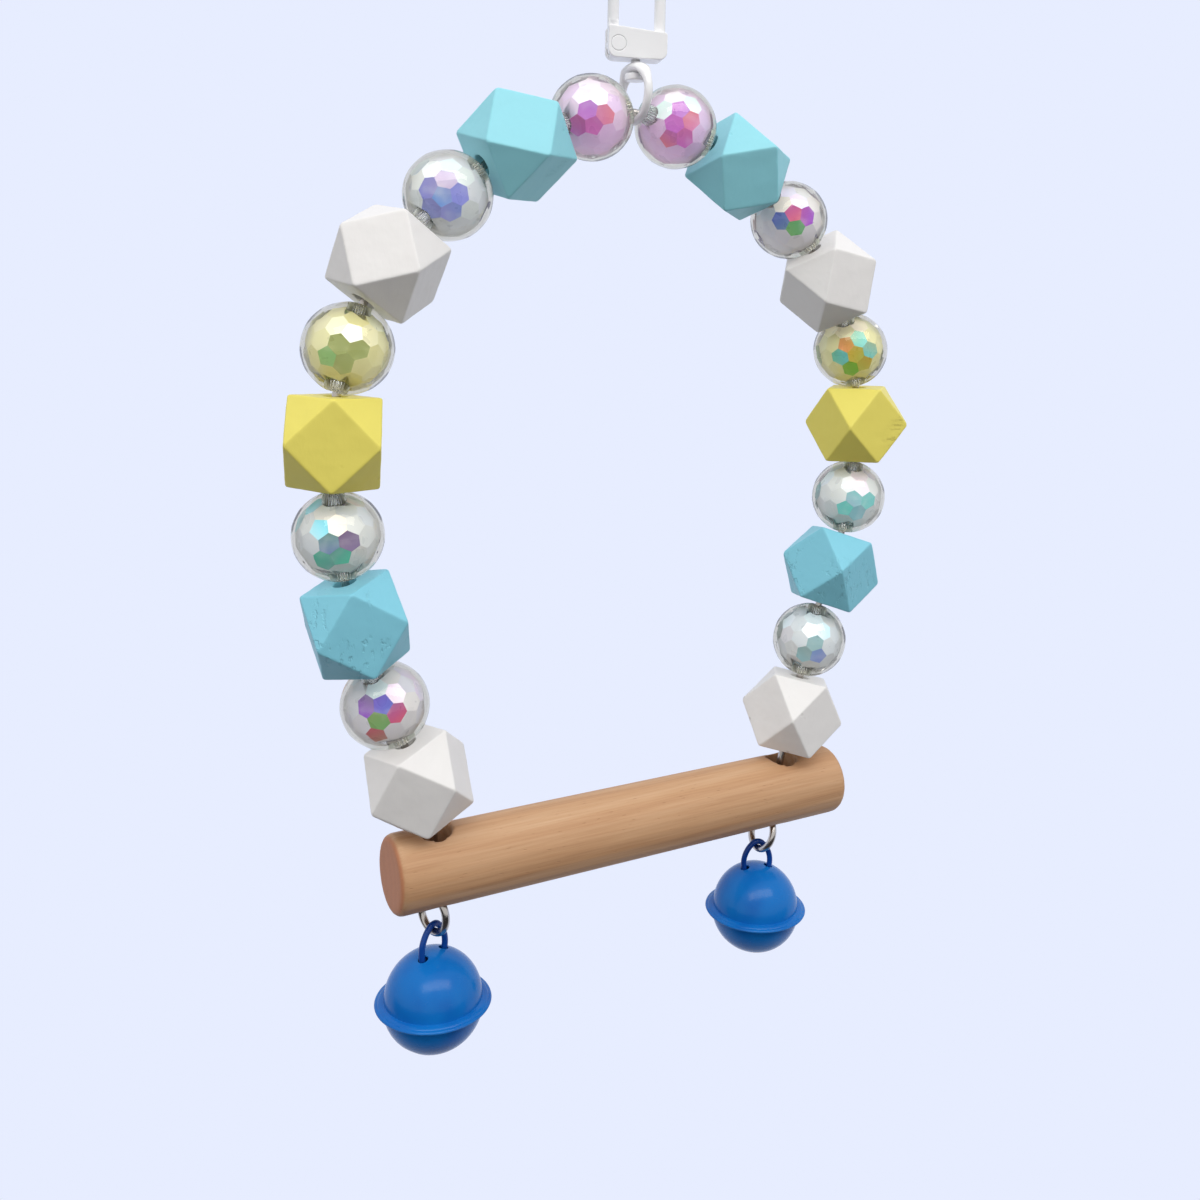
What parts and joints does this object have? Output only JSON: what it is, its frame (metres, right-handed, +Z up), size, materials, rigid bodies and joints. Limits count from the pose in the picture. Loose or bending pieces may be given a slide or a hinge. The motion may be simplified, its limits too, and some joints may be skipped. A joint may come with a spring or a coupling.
{
  "type": "bird swing",
  "caption": "Horseshoe wire swing strung with clear faceted and painted wooden beads, a round wooden perch and a jingle bell under each end, hung from a swivel snap clasp.",
  "frame": {"origin": "the hang point, under the middle of the clasp's top bar", "axes": "X runs along the perch, Y points away from the viewer and Z is up"},
  "size_m": [0.1331, 0.022, 0.2135],
  "materials": {
    "white_metal": "gloss white enamel on cast metal",
    "spring_steel": "bright spring wire",
    "wire_steel": "bright drawn wire",
    "beech": "sanded bare beech",
    "clear_acrylic": "polished clear acrylic with moulded facets",
    "pink_core": "iridescent pink film",
    "pearl_core": "iridescent clear film",
    "lemon_core": "iridescent yellow-green film",
    "sky_paint": "satin light blue paint on wood",
    "white_paint": "satin white paint on wood",
    "yellow_paint": "satin pale yellow paint on wood",
    "blue_paint": "satin blue paint on wood",
    "blue_enamel": "gloss blue enamel on pressed steel",
    "navy_enamel": "gloss navy enamel on wire",
    "ball_steel": "plain steel ball"
  },
  "bodies": {
    "clasp": {"clasp_frame": "white_metal", "gate_rivet": "white_metal", "gate_spring": "spring_steel", "swivel_pin": "white_metal"},
    "gate": {"clasp_gate": "white_metal"},
    "ring": {"swivel_ring": "white_metal"},
    "arch": {"arch_wire": "wire_steel", "perch": "beech"},
    "left_pink_bead_body": {"left_pink_bead": "clear_acrylic", "left_pink_core": "pink_core"},
    "left_sky_bead_body": {"left_sky_bead": "sky_paint"},
    "left_upper_clear_bead_body": {"left_upper_clear_bead": "clear_acrylic", "left_upper_clear_core": "pearl_core"},
    "left_upper_white_bead_body": {"left_upper_white_bead": "white_paint"},
    "left_lemon_bead_body": {"left_lemon_bead": "clear_acrylic", "left_lemon_core": "lemon_core"},
    "left_yellow_bead_body": {"left_yellow_bead": "yellow_paint"},
    "left_middle_clear_bead_body": {"left_middle_clear_bead": "clear_acrylic", "left_middle_clear_core": "pearl_core"},
    "left_blue_bead_body": {"left_blue_bead": "blue_paint"},
    "left_lower_clear_bead_body": {"left_lower_clear_bead": "clear_acrylic", "left_lower_clear_core": "pearl_core"},
    "left_lower_white_bead_body": {"left_lower_white_bead": "white_paint"},
    "right_pink_bead_body": {"right_pink_bead": "clear_acrylic", "right_pink_core": "pink_core"},
    "right_sky_bead_body": {"right_sky_bead": "sky_paint"},
    "right_upper_clear_bead_body": {"right_upper_clear_bead": "clear_acrylic", "right_upper_clear_core": "pearl_core"},
    "right_upper_white_bead_body": {"right_upper_white_bead": "white_paint"},
    "right_lemon_bead_body": {"right_lemon_bead": "clear_acrylic", "right_lemon_core": "lemon_core"},
    "right_yellow_bead_body": {"right_yellow_bead": "yellow_paint"},
    "right_middle_clear_bead_body": {"right_middle_clear_bead": "clear_acrylic", "right_middle_clear_core": "pearl_core"},
    "right_blue_bead_body": {"right_blue_bead": "blue_paint"},
    "right_lower_clear_bead_body": {"right_lower_clear_bead": "clear_acrylic", "right_lower_clear_core": "pearl_core"},
    "right_lower_white_bead_body": {"right_lower_white_bead": "white_paint"},
    "left_bell": {"left_bell_dome": "blue_enamel", "left_bell_cup": "blue_enamel", "left_bell_staple": "navy_enamel"},
    "left_ball": {"left_bell_ball": "ball_steel"},
    "right_bell": {"right_bell_dome": "blue_enamel", "right_bell_cup": "blue_enamel", "right_bell_staple": "navy_enamel"},
    "right_ball": {"right_bell_ball": "ball_steel"}
  },
  "joints": [
    {"name": "gate_hinge", "type": "hinge", "parent": "clasp", "child": "gate", "pos_m": [-0.0035, 0.00114, -0.02125], "axis": [0.309, 0.9511, 0], "range_deg": [0, 19], "stiffness_Nm_per_rad": 0.002, "springref_deg": -17.19, "deforming": ["gate_spring"]},
    {"name": "ring_swivel", "type": "hinge", "parent": "clasp", "child": "ring", "pos_m": [0, 0, -0.0299], "axis": [0, 0, 1], "continuous": true},
    {"name": "arch_swing", "type": "hinge", "parent": "ring", "child": "arch", "pos_m": [0, 0, -0.0334], "axis": [1, 0, 0], "range_deg": [-60, 60]},
    {"name": "left_pink_spin", "type": "hinge", "parent": "arch", "child": "left_pink_bead_body", "pos_m": [-0.00915, 0, -0.03522], "axis": [0.963, 0, 0.2696], "continuous": true},
    {"name": "left_sky_spin", "type": "hinge", "parent": "arch", "child": "left_sky_bead_body", "pos_m": [-0.02407, 0, -0.04171], "axis": [0.8645, 0, 0.5026], "continuous": true},
    {"name": "left_upper_clear_spin", "type": "hinge", "parent": "arch", "child": "left_upper_clear_bead_body", "pos_m": [-0.03722, 0, -0.05135], "axis": [0.7389, 0, 0.6738], "continuous": true},
    {"name": "left_upper_white_spin", "type": "hinge", "parent": "arch", "child": "left_upper_white_bead_body", "pos_m": [-0.04799, 0, -0.06358], "axis": [0.5703, 0, 0.8215], "continuous": true},
    {"name": "left_lemon_spin", "type": "hinge", "parent": "arch", "child": "left_lemon_bead_body", "pos_m": [-0.05512, 0, -0.07815], "axis": [0.2912, 0, 0.9567], "continuous": true},
    {"name": "left_yellow_spin", "type": "hinge", "parent": "arch", "child": "left_yellow_bead_body", "pos_m": [-0.05762, 0, -0.09422], "axis": [0.0359, 0, 0.9994], "continuous": true},
    {"name": "left_middle_clear_spin", "type": "hinge", "parent": "arch", "child": "left_middle_clear_bead_body", "pos_m": [-0.057, 0, -0.11055], "axis": [-0.1103, 0, 0.9939], "continuous": true},
    {"name": "left_blue_spin", "type": "hinge", "parent": "arch", "child": "left_blue_bead_body", "pos_m": [-0.05403, 0, -0.12662], "axis": [-0.2527, 0, 0.9675], "continuous": true},
    {"name": "left_lower_clear_spin", "type": "hinge", "parent": "arch", "child": "left_lower_clear_bead_body", "pos_m": [-0.04879, 0, -0.14211], "axis": [-0.3836, 0, 0.9235], "continuous": true},
    {"name": "left_lower_white_spin", "type": "hinge", "parent": "arch", "child": "left_lower_white_bead_body", "pos_m": [-0.04238, 0, -0.15716], "axis": [-0.356, 0, 0.9345], "continuous": true},
    {"name": "right_pink_spin", "type": "hinge", "parent": "arch", "child": "right_pink_bead_body", "pos_m": [0.00915, 0, -0.03522], "axis": [-0.963, 0, 0.2696], "continuous": true},
    {"name": "right_sky_spin", "type": "hinge", "parent": "arch", "child": "right_sky_bead_body", "pos_m": [0.02407, 0, -0.04171], "axis": [-0.8645, 0, 0.5026], "continuous": true},
    {"name": "right_upper_clear_spin", "type": "hinge", "parent": "arch", "child": "right_upper_clear_bead_body", "pos_m": [0.03722, 0, -0.05135], "axis": [-0.7389, 0, 0.6738], "continuous": true},
    {"name": "right_upper_white_spin", "type": "hinge", "parent": "arch", "child": "right_upper_white_bead_body", "pos_m": [0.04799, 0, -0.06358], "axis": [-0.5703, 0, 0.8215], "continuous": true},
    {"name": "right_lemon_spin", "type": "hinge", "parent": "arch", "child": "right_lemon_bead_body", "pos_m": [0.05512, 0, -0.07815], "axis": [-0.2912, 0, 0.9567], "continuous": true},
    {"name": "right_yellow_spin", "type": "hinge", "parent": "arch", "child": "right_yellow_bead_body", "pos_m": [0.05754, 0, -0.09422], "axis": [-0.0221, 0, 0.9998], "continuous": true},
    {"name": "right_middle_clear_spin", "type": "hinge", "parent": "arch", "child": "right_middle_clear_bead_body", "pos_m": [0.0564, 0, -0.11051], "axis": [0.1604, 0, 0.9871], "continuous": true},
    {"name": "right_blue_spin", "type": "hinge", "parent": "arch", "child": "right_blue_bead_body", "pos_m": [0.05235, 0, -0.12632], "axis": [0.332, 0, 0.9433], "continuous": true},
    {"name": "right_lower_clear_spin", "type": "hinge", "parent": "arch", "child": "right_lower_clear_bead_body", "pos_m": [0.04712, 0, -0.14182], "axis": [0.2702, 0, 0.9628], "continuous": true},
    {"name": "right_lower_white_spin", "type": "hinge", "parent": "arch", "child": "right_lower_white_bead_body", "pos_m": [0.04311, 0, -0.1577], "axis": [0.2368, 0, 0.9715], "continuous": true},
    {"name": "left_bell_swing", "type": "hinge", "parent": "arch", "child": "left_bell", "pos_m": [-0.03956, 0, -0.18622], "axis": [0.9063, 0.4226, 0], "range_deg": [-50, 50]},
    {"name": "left_ball_roll", "type": "hinge", "parent": "left_bell", "child": "left_ball", "pos_m": [-0.03956, 0, -0.20172], "axis": [-0.4226, 0.9063, 0], "range_deg": [-35, 35]},
    {"name": "right_bell_swing", "type": "hinge", "parent": "arch", "child": "right_bell", "pos_m": [0.03505, 0, -0.186], "axis": [0.9659, -0.2588, 0], "range_deg": [-50, 50]},
    {"name": "right_ball_roll", "type": "hinge", "parent": "right_bell", "child": "right_ball", "pos_m": [0.03505, 0, -0.2015], "axis": [0.2588, 0.9659, 0], "range_deg": [-35, 35]}
  ]
}
